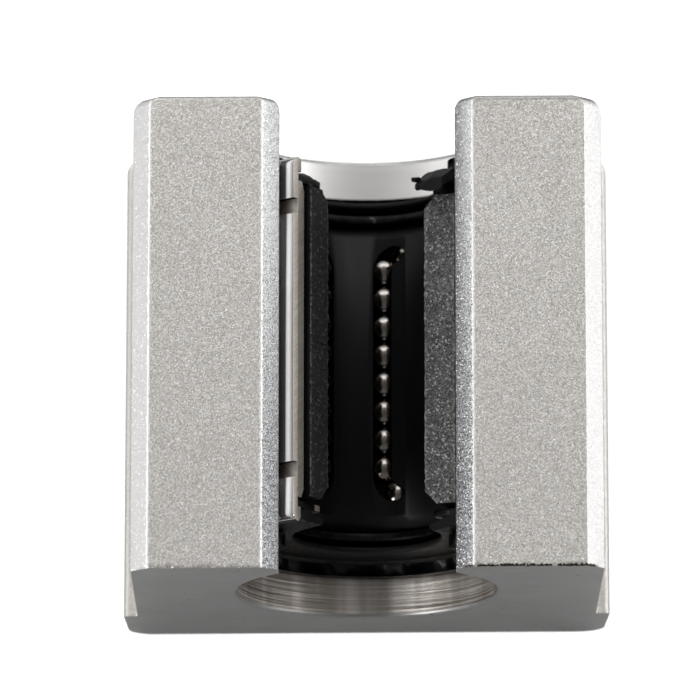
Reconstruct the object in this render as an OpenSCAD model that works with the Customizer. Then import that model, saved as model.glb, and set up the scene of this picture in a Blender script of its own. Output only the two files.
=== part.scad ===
// Open linear ball bushing for a 12 mm supported shaft, in its pillow block.
// The origin is on the shaft's axis, half way along the block. +Y runs along the shaft, +Z points
// out of the open slot, and the mounting face is at the bottom. Sizes are in millimetres.

/* [Housing block] */
// Length of the block along the shaft
block_length = 38.7; // [38:0.1:42]
// Width over the flange
flange_width = 40; // [39:0.5:44]
// Width of the body above the flange
body_width = 37.7; // [36.5:0.1:38.5]
// Height of the shaft's axis above the mounting face
axis_height = 17; // [16.5:0.5:20]
// Height of the open face above the shaft's axis
open_face_height = 10.6; // [10:0.1:12]
// Thickness of the flange
flange_thickness = 8; // [6:0.5:8.5]
// Width of the slot between the two legs
block_slot_width = 14.15; // [13.5:0.05:15]
// Width of the bevel along each edge of the open face
bevel_width = 1.4; // [0.8:0.1:1.8]
// Depth of the same bevel
bevel_depth = 1.2; // [0.6:0.1:1.4]

/* [Mounting holes] */
// Distance between the hole centres across the block
bolt_spacing_x = 28; // [26:0.5:29]
// Distance between the hole centres along the block
bolt_spacing_y = 26; // [22:0.5:28]
// Radius of the tapped holes (2.1 suits an M5 thread)
tapped_hole_radius = 2.1; // [1.6:0.1:2.2]
// Depth of the tapped holes
tapped_hole_depth = 10; // [8:0.5:11]

/* [Bushing] */
// Diameter of the shaft that the bushing runs on
shaft_diameter = 12; // [11.8:0.1:12]
// Outside diameter of the sleeve
sleeve_diameter = 21; // [20.8:0.1:21.2]
// Length of the sleeve
sleeve_length = 30; // [29.5:0.1:30.5]
// Opening of the sleeve's slot, in degrees
sleeve_slot_angle = 86; // [82:1:88]
// Opening of the cage's slot, in degrees
cage_slot_angle = 84.6; // [82:0.2:88]
// Length of the cage
cage_length = 25.6; // [24.6:0.1:25.8]
// How far the bushing is turned in the block, in degrees
bushing_turn = 10.6; // [-15:0.2:15]

/* [Balls] */
// Diameter of one ball
ball_diameter = 2.381; // [2.3:0.001:2.381]
// Number of balls in each straight row
balls_in_row = 8; // [6:1:8]
// Angle of the lower loaded rows from the point opposite the slot, in degrees
lower_row_angle = 22.4; // [20:0.2:24]
// Angle of the upper loaded rows from the same point, in degrees
upper_row_angle = 120; // [116:0.5:122]
// How far the loaded rows have rolled along from their middle place
row_phase = 0.45; // [-0.6:0.05:0.6]

/* [Hidden] */
$fn = 96;
circuits = ["lower_right", "lower_left", "upper_right", "upper_left"];
through = 1; // how far a cut runs past the surface that it opens

// Housing
bore_radius = sleeve_diameter / 2 + 0.02;
ledge_height = flange_thickness - axis_height;
foot_round = 2.1;
flange_draft = 0.3; // the flange's sides lean in by this much towards the mounting face
ledge_round = 0.5;
rear_round = 1.3; // the upright outer edges at the rear end are rounded by this much
rear_slot_round = 0.9;
mouth_bevel = 0.35;
hole_bevel = 0.4;
drill_point = 1.2;
screw_hole_radius = 2;

// Sleeve
sleeve_radius = sleeve_diameter / 2;
sleeve_end_round = 0.65;
ring_groove_radius = sleeve_radius - 0.5;
ring_groove_outer = 11.5;
ring_groove_width = 1.3;
relief_radius = 9.1;
lip_radius = 9.5;
seat_radius = 9.9;
seat_from = 13.02;
seat_to = 13.8;
slope_from = 12.3;
slope_radius = 9.4;
lip_bevel = 0.3;
sleeve_slot_shift = -1.6; // the sleeve's slot sits this many degrees off the cage's

// Balls: each circuit is a flat loop in the plane that touches its loaded row
ball_radius = ball_diameter / 2;
row_radius = shaft_diameter / 2 + ball_radius;
raceway_radius = row_radius + ball_radius + 0.01;
ball_pitch = ball_diameter + 0.005;
turn_radius = 1.63;
turn_centre = (balls_in_row - 1) * ball_pitch / 2 + 0.15;
circuit_shift = 0.3; // the circuits sit this far off the cage's middle
channel_radius = ball_radius + 0.1;
land_half_angle = 8;
land_end = turn_centre - 0.1;
turned_by = row_phase / turn_radius * 180 / PI;

// Cage
cage_inner_radius = 6.2;
cage_outer_radius = 8.65;
cage_mouth_length = 1.1;
cage_mouth_depth = 0.9;

// Rings and seals
end_ring_inner_radius = 6.3;
end_ring_outer_radius = seat_radius - 0.05;
end_ring_from = 13.1;
end_ring_thickness = 0.6;
end_ring_slot_angle = 95;
seal_lip_radius = 6.03;
seal_outer_radius = lip_radius - 0.06;
seal_from = 13.84;
seal_to = 14.8;
seal_lip_thickness = 0.45;
seal_slot_angle = 80;
circlip_from = sleeve_length / 2 + 0.02;
circlip_thickness = 1;
circlip_inner_radius = 9.8;
circlip_outer_radius = bore_radius + 0.42;
circlip_groove_radius = bore_radius + 0.48;
circlip_groove_play = 0.05;
circlip_slot_angle = 136;
circlip_lug_angle = 72;
circlip_lug_place = 8.9;
circlip_lug_radius = 1.9;
circlip_lug_hole = 0.8;

// Set screw, an M4 cup point grub screw in the right side of the block
set_screw_radius = 1.97;
set_screw_length = 6;
set_screw_slack = 0.3;
set_screw_end_bevel = 0.4;
hex_socket_radius = 1.15;
hex_socket_depth = 2.2;
cup_radius = 0.9;
cup_depth = 0.5;

// Extrudes a shape drawn in X and Z along the shaft, centred on the origin.
module along_shaft(length) {
    rotate([90, 0, 0]) linear_extrude(height = length, center = true) children();
}

// Turns a profile drawn as (radius, place along the shaft) around the shaft, all but a slot at the top.
module around_shaft(slot_angle = 0) {
    rotate([-90, 0, 0])
        rotate_extrude(start = slot_angle / 2 - 90, angle = 360 - slot_angle) children();
}

// A cylinder along the shaft, from one place on it to another.
module shaft_cylinder(radius, from, to) {
    translate([0, from, 0]) rotate([-90, 0, 0]) cylinder(r = radius, h = to - from);
}

// The same child at both ends of the object.
module both_ends() {
    children();
    mirror([0, 1, 0]) children();
}

// Moves a child from the bushing's own frame to where the bushing stands in the block.
module in_bushing() {
    rotate([0, bushing_turn, 0]) children();
}

// What a square corner loses when it is rounded, with the corner at the origin and the metal at -x, -y.
module corner_loss(radius) {
    difference() {
        translate([-radius, -radius]) square(radius + through);
        translate([-radius, -radius]) circle(radius);
    }
}

// The end view of one half of the block, to the right of the shaft.
module half_block_profile() {
    half_flange = flange_width / 2;
    half_body = body_width / 2;
    half_slot = block_slot_width / 2;
    difference() {
        polygon([
            [0, -axis_height],
            [half_flange - flange_draft, -axis_height],
            [half_flange, ledge_height],
            [half_body, ledge_height],
            [half_body, open_face_height - bevel_depth],
            [half_body - bevel_width, open_face_height],
            [half_slot + bevel_width, open_face_height],
            [half_slot, open_face_height - bevel_depth],
            [half_slot, 0],
            [0, 0]
        ]);
        translate([half_flange - flange_draft, -axis_height]) mirror([0, 1]) corner_loss(foot_round);
        translate([half_flange, ledge_height]) corner_loss(ledge_round);
    }
}

module housing() {
    color("silver") difference() {
        along_shaft(block_length) {
            half_block_profile();
            mirror([1, 0]) half_block_profile();
        }
        shaft_cylinder(bore_radius, -block_length / 2 - through, block_length / 2 + through);
        both_ends() housing_end_cuts();
        rear_edge_cuts();
        mirror([1, 0, 0]) rear_edge_cuts();
        for (x = [-1, 1], y = [-1, 1])
            translate([x * bolt_spacing_x / 2, y * bolt_spacing_y / 2, -axis_height]) tapped_hole();
        rotate([0, 90, 0]) cylinder(r = screw_hole_radius, h = flange_width);
    }
}

// The bevel at one mouth of the bore, and the groove that holds a circlip.
module housing_end_cuts() {
    groove_from = circlip_from - circlip_groove_play;
    groove_to = circlip_from + circlip_thickness + circlip_groove_play;
    shaft_cylinder(circlip_groove_radius, groove_from, groove_to);
    translate([0, block_length / 2 - mouth_bevel, 0]) rotate([-90, 0, 0])
        cylinder(r1 = bore_radius, r2 = bore_radius + mouth_bevel + through, h = mouth_bevel + through);
}

// What the rounding of the right half's upright edges at the rear end takes away.
module rear_edge_cuts() {
    rear = block_length / 2;
    translate([flange_width / 2, rear, -axis_height - through])
        linear_extrude(height = flange_thickness + through) corner_loss(rear_round);
    translate([body_width / 2, rear, ledge_height])
        linear_extrude(height = open_face_height - ledge_height + through) corner_loss(rear_round);
    translate([block_slot_width / 2, rear, 0]) mirror([1, 0, 0])
        linear_extrude(height = open_face_height + through) corner_loss(rear_slot_round);
}

// A blind tapped hole that opens downwards at the origin.
module tapped_hole() {
    translate([0, 0, -through]) cylinder(r = tapped_hole_radius, h = tapped_hole_depth + through);
    translate([0, 0, tapped_hole_depth]) cylinder(r1 = tapped_hole_radius, r2 = 0, h = drill_point);
    translate([0, 0, -through]) cylinder(
        r1 = tapped_hole_radius + hole_bevel + through, r2 = tapped_hole_radius, h = hole_bevel + through);
}

// An internal circlip with a lug at each end, at the rear of the bushing.
module circlip() {
    rear_of_circlip = circlip_from + circlip_thickness;
    difference() {
        union() {
            around_shaft(circlip_slot_angle) translate([circlip_inner_radius, circlip_from])
                square([circlip_outer_radius - circlip_inner_radius, circlip_thickness]);
            at_circlip_lugs() shaft_cylinder(circlip_lug_radius, circlip_from, rear_of_circlip);
        }
        at_circlip_lugs() shaft_cylinder(circlip_lug_hole, circlip_from - through, rear_of_circlip + through);
    }
}

module at_circlip_lugs() {
    for (side = [-1, 1])
        rotate([0, side * circlip_lug_angle, 0]) translate([0, 0, circlip_lug_place]) children();
}

module circlip_rear() {
    color("dimgray") circlip();
}

module circlip_front() {
    color("dimgray") mirror([0, 1, 0]) circlip();
}

module set_screw() {
    color("dimgray") translate([sleeve_radius + set_screw_slack, 0, 0]) rotate([0, 90, 0]) difference() {
        union() {
            cylinder(r1 = set_screw_radius - set_screw_end_bevel, r2 = set_screw_radius,
                h = set_screw_end_bevel);
            translate([0, 0, set_screw_end_bevel])
                cylinder(r = set_screw_radius, h = set_screw_length - set_screw_end_bevel);
        }
        translate([0, 0, -through])
            cylinder(r1 = cup_radius + through, r2 = cup_radius - cup_depth, h = through + cup_depth);
        translate([0, 0, set_screw_length - hex_socket_depth])
            cylinder(r = hex_socket_radius, h = hex_socket_depth + through, $fn = 6);
    }
}

// One half of the sleeve's section, from its middle to its rear end, as (radius, place along the shaft).
module half_sleeve_profile() {
    end = sleeve_length / 2;
    difference() {
        polygon([
            [relief_radius, 0],
            [sleeve_radius, 0],
            [sleeve_radius, ring_groove_outer - ring_groove_width],
            [ring_groove_radius, ring_groove_outer - ring_groove_width],
            [ring_groove_radius, ring_groove_outer],
            [sleeve_radius, ring_groove_outer],
            [sleeve_radius, end],
            [lip_radius + lip_bevel, end],
            [lip_radius, end - lip_bevel],
            [lip_radius, seat_to],
            [seat_radius, seat_to],
            [seat_radius, seat_from],
            [slope_radius, seat_from],
            [relief_radius, slope_from]
        ]);
        translate([sleeve_radius, end]) corner_loss(sleeve_end_round);
    }
}

module outer_sleeve() {
    color("lightgray") in_bushing() difference() {
        union() {
            rotate([0, sleeve_slot_shift, 0]) around_shaft(sleeve_slot_angle) {
                half_sleeve_profile();
                mirror([0, 1]) half_sleeve_profile();
            }
            for_each_circuit() raceway_land();
        }
        for_each_circuit() {
            circuit_straight(2 * turn_radius);
            circuit_turns();
        }
    }
}

// Places a child in every circuit's own frame.
module for_each_circuit() {
    for (name = circuits) in_circuit(name) children();
}

// A circuit's own frame has its loaded row along Y, its return row at +X, and +Z outwards.
module in_circuit(name) {
    lower = name == "lower_right" || name == "lower_left";
    right = name == "lower_right" || name == "upper_right";
    row_angle = (right ? 1 : -1) * (lower ? lower_row_angle : upper_row_angle);
    flipped = lower == right;
    rotate([0, 180 - row_angle, 0]) mirror([flipped ? 1 : 0, 0, 0])
        translate([0, circuit_shift, row_radius]) children();
}

// The strip of the sleeve's inside that a loaded row rolls on.
module raceway_land() {
    translate([0, 0, -row_radius]) rotate([-90, 0, 0])
        rotate_extrude(start = -90 - land_half_angle, angle = 2 * land_half_angle)
        translate([raceway_radius, -land_end]) square([relief_radius - raceway_radius + 0.4, 2 * land_end]);
}

// The section of a ball channel: round towards the shaft and straight-sided outwards.
module channel_section() {
    circle(channel_radius);
    translate([-channel_radius, 0]) square([2 * channel_radius, 2 * channel_radius]);
}

module circuit_straight(x) {
    translate([x, 0, 0]) along_shaft(2 * turn_centre) channel_section();
}

module circuit_turns() {
    both_ends() translate([turn_radius, turn_centre, 0])
        rotate_extrude(angle = 180) translate([turn_radius, 0]) channel_section();
}

// One half of the cage's section, which is belled out at its mouth.
module half_cage_profile() {
    end = cage_length / 2;
    polygon([
        [cage_inner_radius, 0],
        [cage_outer_radius, 0],
        [cage_outer_radius, end],
        [cage_inner_radius + cage_mouth_depth, end],
        [cage_inner_radius, end - cage_mouth_length]
    ]);
}

module ball_cage() {
    color([0.1, 0.1, 0.1]) in_bushing() difference() {
        around_shaft(cage_slot_angle) {
            half_cage_profile();
            mirror([0, 1]) half_cage_profile();
        }
        for_each_circuit() {
            circuit_straight(0);
            circuit_straight(2 * turn_radius);
            circuit_turns();
        }
    }
}

// The steel washer that keeps the cage in the sleeve, at the rear end.
module end_ring() {
    around_shaft(end_ring_slot_angle) translate([end_ring_inner_radius, end_ring_from])
        square([end_ring_outer_radius - end_ring_inner_radius, end_ring_thickness]);
}

module end_ring_rear() {
    color("gray") in_bushing() end_ring();
}

module end_ring_front() {
    color("gray") in_bushing() mirror([0, 1, 0]) end_ring();
}

// The rubber wiper, at the rear end: a thick rim and a thin lip that leans outwards.
module end_seal() {
    rim_radius = seal_outer_radius - 1.4;
    around_shaft(seal_slot_angle) polygon([
        [seal_outer_radius, seal_from],
        [seal_outer_radius, seal_to],
        [rim_radius, seal_to],
        [seal_lip_radius + 0.3, seal_to],
        [seal_lip_radius, seal_to - 0.15],
        [seal_lip_radius, seal_to - seal_lip_thickness],
        [rim_radius, seal_from]
    ]);
}

module end_seal_rear() {
    color([0.08, 0.08, 0.08]) end_seal();
}

module end_seal_front() {
    color([0.08, 0.08, 0.08]) in_bushing() mirror([0, 1, 0]) end_seal();
}

// A straight row of balls, moved along by the rows' phase in the given direction.
module ball_row(x, direction) {
    for (i = [0 : balls_in_row - 1])
        translate([x, (i - (balls_in_row - 1) / 2) * ball_pitch + direction * row_phase, 0])
            sphere(ball_radius, $fn = 48);
}

// The ball in one turn. End is 1 at the rear and -1 at the front.
module turn_ball(end) {
    translate([turn_radius, end * turn_centre, 0]) rotate([0, 0, -turned_by])
        translate([0, end * turn_radius, 0]) sphere(ball_radius, $fn = 48);
}

module balls(part, name) {
    color("gainsboro") in_bushing() in_circuit(name) {
        if (part == "loaded_row") ball_row(0, 1);
        if (part == "return_row") ball_row(2 * turn_radius, -1);
        if (part == "turn_front") turn_ball(-1);
        if (part == "turn_rear") turn_ball(1);
    }
}

housing();
circlip_front();
circlip_rear();
set_screw();
outer_sleeve();
ball_cage();
end_ring_front();
end_ring_rear();
end_seal_front();
end_seal_rear();
for (part = ["loaded_row", "return_row", "turn_front", "turn_rear"], name = circuits)
    balls(part, name);
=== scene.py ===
"""Visual model of an open linear ball bushing in its pillow block."""
import math

import bmesh
import bpy
from mathutils import Matrix, Vector, noise


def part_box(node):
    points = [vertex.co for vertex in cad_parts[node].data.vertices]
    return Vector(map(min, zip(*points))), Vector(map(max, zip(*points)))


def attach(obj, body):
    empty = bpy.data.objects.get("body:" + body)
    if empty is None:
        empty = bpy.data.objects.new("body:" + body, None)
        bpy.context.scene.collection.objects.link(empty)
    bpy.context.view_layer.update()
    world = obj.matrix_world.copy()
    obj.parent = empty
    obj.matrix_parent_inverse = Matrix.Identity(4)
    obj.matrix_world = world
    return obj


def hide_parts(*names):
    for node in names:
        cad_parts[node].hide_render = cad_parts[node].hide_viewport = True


MM = 0.001
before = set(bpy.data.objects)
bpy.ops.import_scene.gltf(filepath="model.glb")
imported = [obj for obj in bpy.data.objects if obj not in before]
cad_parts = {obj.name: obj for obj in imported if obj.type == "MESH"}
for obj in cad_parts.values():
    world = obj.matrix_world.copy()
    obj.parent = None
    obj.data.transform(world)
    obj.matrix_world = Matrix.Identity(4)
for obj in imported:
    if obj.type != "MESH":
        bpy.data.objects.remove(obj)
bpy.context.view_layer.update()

# ---------------------------------------------------------------- sizes, in millimetres
# The block's outside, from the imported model
HOUSING_LOW, HOUSING_HIGH = (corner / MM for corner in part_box("housing"))
HALF_LENGTH = HOUSING_HIGH.y
FACE_BOTTOM = HOUSING_LOW.z
FACE_TOP = HOUSING_HIGH.z
HALF_FLANGE = HOUSING_HIGH.x

# The block's section
FLANGE_DRAFT = 0.3
LEDGE = -9.0
HALF_BODY = 18.85
HALF_SLOT = 7.075
BEVEL_WIDTH = 1.4
BEVEL_DEPTH = 1.2
BEVEL_FOOT = FACE_TOP - BEVEL_DEPTH
OUTER_EDGE = HALF_BODY - BEVEL_WIDTH
INNER_EDGE = HALF_SLOT + BEVEL_WIDTH

# The bore, its mouths, the circlip grooves and the lines that the lathe left near its ends
BORE = 10.52
MOUTH_BEVEL = 0.35
GROOVE = 11.0
GROOVE_FROM, GROOVE_TO = 14.97, 16.07
TURNED_PITCH = 0.2
NEAR_TURNED_HEIGHT, REAR_TURNED_HEIGHT = 0.005, 0.0015

# The saw cuts are out of square. The near end is short at its right and stands out at its foot,
# and the rear end stands out, most at its right. The block keeps its shape up to SKEW_FROM.
SKEW_FROM = 16.3
NEAR_SHORT_AT_RIGHT = 0.26
NEAR_LONG_AT_FOOT = 0.15
REAR_LONG_AT_LEFT = 0.08
REAR_LONG_AT_RIGHT = 0.22

# The holes
BOLT_PLACES = [(x, y) for x in (-14, 14) for y in (-13, 13)]
BOLT_TAPPED, BOLT_MAJOR, BOLT_PITCH = 2.1, 2.5, 0.8
BOLT_DEPTH, BOLT_TIP, BOLT_BEVEL = 10.0, 1.2, 0.5
SCREW_HOLE, SCREW_HOLE_BEVEL = 2.0, 0.25

# Heights on the slot's walls for their painted light and shade: the top of the painted shadow band, and
# where they turn from bright to dim
WALL_SHADOW_TO = 8.35
WALL_DIM_FROM, WALL_DIM_ABOVE = 8.7, 9.2

# The bushing: its turn in the block, the sleeve's ring grooves (their floor's radius and their
# place along the shaft), the cage's radii, and how far out the end ring's bright corner, a painted glint,
# goes
BUSHING_TURN = math.radians(10.6)
SLEEVE_GROOVE, SLEEVE_GROOVE_PLACE = 10.05, 10.85
CAGE_INSIDE, CAGE_OUTSIDE = 6.4, 8.65
CAGE_STEP = 0.2
RING_CORNER_TO = 7.0


# ---------------------------------------------------------------- shader helpers
def new_material(name):
    """A material with the plain shader, and its node tree."""
    made = bpy.data.materials.new(name)
    made.use_nodes = True
    return made, made.node_tree


def give(tree, socket, value):
    """Links a node's output to a socket, or sets the socket to a plain value."""
    if isinstance(value, bpy.types.NodeSocket):
        tree.links.new(value, socket)
    elif socket.type == "RGBA":
        socket.default_value = (*value, 1)
    else:
        socket.default_value = value


def add(tree, kind, inputs=None, **settings):
    """A new shader node with these settings and inputs."""
    node = tree.nodes.new("ShaderNode" + kind)
    for key, value in settings.items():
        setattr(node, key, value)
    for key, value in (inputs or {}).items():
        give(tree, node.inputs[key], value)
    return node


def math_node(tree, operation, a, b=0.0):
    return add(tree, "Math", {0: a, 1: b}, operation=operation).outputs[0]


def times(tree, a, b):
    return math_node(tree, "MULTIPLY", a, b)


def plus(tree, a, b):
    return math_node(tree, "ADD", a, b)


def minus(tree, a, b):
    return math_node(tree, "SUBTRACT", a, b)


def ramp(tree, factor, low, high, to_low=0.0, to_high=1.0):
    """Goes from to_low to to_high while the factor goes from low to high, and no further."""
    return add(tree, "MapRange", {"Value": factor, "From Min": low, "From Max": high,
                                  "To Min": to_low, "To Max": to_high}).outputs[0]


def ramp_mm(tree, distance, low, high, to_low=0.0, to_high=1.0):
    """A ramp over a distance, whose low and high places are in millimetres."""
    return ramp(tree, distance, low * MM, high * MM, to_low, to_high)


def mix_color(tree, factor, a, b):
    """Colour a where the factor is 0, and colour b where it is 1."""
    return add(tree, "Mix", {0: factor, 6: a, 7: b}, data_type="RGBA").outputs[2]


def mix_vector(tree, factor, a, b):
    return add(tree, "Mix", {0: factor, 4: a, 5: b}, data_type="VECTOR").outputs[1]


def channel(tree, color, index):
    """One of a colour's three numbers."""
    return add(tree, "SeparateColor", {0: color}).outputs[index]


def place(tree):
    """Each point's place in the shared frame at rest, in metres."""
    return add(tree, "TexCoord").outputs["Object"]


def split_place(tree, where):
    return add(tree, "SeparateXYZ", {0: where}).outputs


def noise_value(tree, where, scale, detail):
    return add(tree, "TexNoise", {"Vector": where, "Scale": scale, "Detail": detail}).outputs["Fac"]


def stretched(tree, where, x, y, z):
    """Places scaled by axis, for noise that is longer one way than another."""
    return add(tree, "Mapping", {"Vector": where, "Scale": (x, y, z)}).outputs[0]


def stretched_noise(tree, where, x, y, z, detail):
    return noise_value(tree, stretched(tree, where, x, y, z), 1, detail)


def grains(tree, where, size_mm):
    """A random colour for each grain of about this size."""
    return add(tree, "TexVoronoi", {"Vector": where, "Scale": 1 / (size_mm * MM)}).outputs["Color"]


def tilted_normal(tree, color, tilt):
    """The surface's normal, tilted further the more the colour differs from middle grey."""
    centred = add(tree, "VectorMath", {0: color, 1: (0.5, 0.5, 0.5)}, operation="SUBTRACT").outputs[0]
    scaled = add(tree, "VectorMath", {0: centred, "Scale": tilt}, operation="SCALE").outputs[0]
    normal = add(tree, "NewGeometry").outputs["Normal"]
    summed = add(tree, "VectorMath", {0: scaled, 1: normal}, operation="ADD").outputs[0]
    return add(tree, "VectorMath", {0: summed}, operation="NORMALIZE").outputs[0]


def bump(tree, height, distance_mm, strength, normal=None):
    inputs = {"Height": height, "Distance": distance_mm * MM, "Strength": strength}
    if normal is not None:
        inputs["Normal"] = normal
    return add(tree, "Bump", inputs).outputs[0]


def surface(made, color, roughness, normal, metallic=1.0, specular=0.5):
    """Gives the material's plain shader what was worked out for it."""
    inputs = made.node_tree.nodes["Principled BSDF"].inputs
    for name, value in (("Base Color", color), ("Roughness", roughness), ("Normal", normal),
                        ("Metallic", metallic), ("Specular IOR Level", specular)):
        give(made.node_tree, inputs[name], value)
    return made


# ---------------------------------------------------------------- materials
def face_color(tree, where, grain):
    """Warm, light grains in soft clouds."""
    color = mix_color(tree, ramp(tree, grain, 0.1, 0.9), (0.67, 0.64, 0.60), (0.92, 0.892, 0.855))
    cloud = noise_value(tree, where, 160, 3)
    return mix_color(tree, ramp(tree, cloud, 0.3, 0.7, 0.0, 0.3), color, (0.69, 0.66, 0.625))


def inner_bevel_grains_and_shade(tree, x, y, side, grain):
    """Grains of strong contrast, with painted shade: darker towards the near end, towards the slot and most
    on the right-hand bevel.
    """
    dark = mix_color(tree, ramp(tree, grain, 0.3, 0.8), (0.15, 0.15, 0.155), (0.86, 0.86, 0.87))
    bright = mix_color(tree, grain, (0.72, 0.72, 0.72), (0.98, 0.98, 0.98))
    darkness = ramp_mm(tree, y, 0.5 * HALF_LENGTH, -0.6 * HALF_LENGTH, 0.25, 1.0)
    color = mix_color(tree, darkness, bright, dark)
    shade = ramp_mm(tree, side, HALF_SLOT + 0.1, INNER_EDGE, 0.75, 0.0)
    shade = times(tree, shade, ramp_mm(tree, x, -1, 1, 0.4, 1.0))
    return mix_color(tree, shade, color, (0.16, 0.165, 0.175))


def slot_wall_painted_shade(tree, z):
    """Painted light and shade: a painted shadow at the wall's foot, bright above it and dim below the
    bevel.
    """
    lit = ramp_mm(tree, z, WALL_SHADOW_TO - 0.06, WALL_SHADOW_TO + 0.06)
    color = mix_color(tree, lit, (0.10, 0.095, 0.10), (0.84, 0.84, 0.845))
    return mix_color(tree, ramp_mm(tree, z, WALL_DIM_FROM, WALL_DIM_ABOVE), color, (0.36, 0.34, 0.31))


def rubbed_and_highlit_rims(tree, where, x, side):
    """1 along the open faces' inner edges and the left face's outer edge, in a wandering line: rubbed
    bright metal, partly a painted highlight.
    """
    width = ramp(tree, noise_value(tree, where, 2600, 2), 0.3, 0.7, 0.06 * MM, 0.17 * MM)
    from_inner = math_node(tree, "ABSOLUTE", minus(tree, side, INNER_EDGE * MM))
    from_outer = math_node(tree, "ABSOLUTE", plus(tree, x, OUTER_EDGE * MM))
    return math_node(tree, "MAXIMUM", math_node(tree, "LESS_THAN", from_inner, width),
                     math_node(tree, "LESS_THAN", from_outer, width))


def painted_shade_rims(tree, y, side):
    """How much painted shade darkens the rear rim and the flange's outer rims."""
    rear = ramp_mm(tree, y, HALF_LENGTH - 0.30, HALF_LENGTH - 0.12, 0, 0.8)
    flange = ramp_mm(tree, side, HALF_FLANGE - 0.35, HALF_FLANGE - 0.10, 0, 0.6)
    return math_node(tree, "MAXIMUM", rear, flange)


def edge_dark_marks(tree, where, x, y, z):
    """1 in the dark broken marks along the near end's sawn top edge, which has fewer of them at the left.
    """
    ragged = ramp(tree, noise_value(tree, where, 3800, 3), 0.25, 0.75, -0.14 * MM, 0.14 * MM)
    skew = times(tree, x, NEAR_SHORT_AT_RIGHT / (2 * HALF_FLANGE))
    along = minus(tree, plus(tree, y, ragged), skew)
    near = ramp_mm(tree, along, -HALF_LENGTH + 0.33, -HALF_LENGTH + 0.27)
    crest = ramp_mm(tree, z, FACE_TOP - 0.9, FACE_TOP - 0.5)
    broken = ramp(tree, noise_value(tree, where, 1700, 5), 0.37, 0.43)
    less_left = ramp_mm(tree, x, -4, 4, 0.25, 1.0)
    return times(tree, times(tree, near, crest), times(tree, broken, less_left))


def blasted_aluminium():
    """The block's blasted outside, with painted shade on its bevels, slot walls and rims, and a painted
    highlight along some rims.
    """
    made, tree = new_material("blasted_aluminium")
    where = place(tree)
    x, y, z = split_place(tree, where)
    side = math_node(tree, "ABSOLUTE", x)
    high = ramp_mm(tree, z, BEVEL_FOOT - 0.1, BEVEL_FOOT)
    on_inner_bevel = times(tree, high, ramp_mm(tree, side, INNER_EDGE, INNER_EDGE - 0.06))
    on_outer_bevel = times(tree, high, ramp_mm(tree, side, OUTER_EDGE, OUTER_EDGE + 0.06))
    on_wall = times(tree, ramp_mm(tree, side, HALF_SLOT + 0.02, HALF_SLOT + 0.01), ramp_mm(tree, z, 6, 7))

    coarse = grains(tree, where, 0.078)
    large = channel(tree, coarse, 0)
    small = channel(tree, grains(tree, where, 0.052), 1)
    grain = plus(tree, times(tree, large, 0.5), times(tree, small, 0.5))

    color = face_color(tree, where, grain)
    # The inner bevels' grains, with painted shade
    color = mix_color(tree, on_inner_bevel, color, inner_bevel_grains_and_shade(tree, x, y, side, grain))
    # Painted shade darkens the outer bevels towards mid grey
    color = mix_color(tree, times(tree, on_outer_bevel, 0.7), color, (0.62, 0.62, 0.63))
    # Rubbed rims in white, partly a painted highlight
    color = mix_color(tree, times(tree, rubbed_and_highlit_rims(tree, where, x, side), high), color, (1, 1, 1))
    spark = math_node(tree, "GREATER_THAN", large, 0.955)
    color = mix_color(tree, spark, color, (1, 1, 1))
    # The slot's walls get painted shade: a painted shadow at their foot, bright above it and dim below the
    # bevel
    color = mix_color(tree, on_wall, color, slot_wall_painted_shade(tree, z))
    # Painted shade on the rear rim and the flange's outer rims
    color = mix_color(tree, painted_shade_rims(tree, y, side), color, (0.24, 0.24, 0.245))
    color = mix_color(tree, edge_dark_marks(tree, where, x, y, z), color, (0.05, 0.035, 0.025))

    normal = mix_vector(tree, on_inner_bevel, tilted_normal(tree, coarse, 0.26),
                        tilted_normal(tree, coarse, 0.62))
    normal = mix_vector(tree, on_wall, normal, add(tree, "NewGeometry").outputs["Normal"])
    normal = bump(tree, noise_value(tree, where, 9000, 1), 0.02, 0.4, normal)
    return surface(made, color, ramp(tree, small, 0, 1, 0.40, 0.56), normal)


def sawn_aluminium():
    """The sawn ends and the bore's mouths: level streaks, clouds and a few pits, darkened as painted shade.
    """
    made, tree = new_material("sawn_aluminium")
    where = place(tree)
    streaks = stretched_noise(tree, where, 400, 400, 4000, 3)
    cloud = noise_value(tree, where, 220, 4)
    color = mix_color(tree, ramp(tree, streaks, 0.3, 0.7), (0.355, 0.355, 0.35), (0.41, 0.41, 0.405))
    color = mix_color(tree, ramp(tree, cloud, 0.35, 0.75, 0.0, 0.5), color, (0.33, 0.33, 0.325))
    cells = add(tree, "TexVoronoi", {"Vector": where, "Scale": 700.0}).outputs
    picked = math_node(tree, "GREATER_THAN", channel(tree, cells["Color"], 0), 0.72)
    pits = times(tree, ramp(tree, cells["Distance"], 0.05, 0.14, 1, 0), picked)
    # The pits' painted shade
    color = mix_color(tree, pits, color, (0.12, 0.11, 0.10))
    height = minus(tree, times(tree, streaks, 0.15), pits)
    return surface(made, color, ramp(tree, cloud, 0.2, 0.8, 0.30, 0.42), bump(tree, height, 0.02, 0.5))


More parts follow.
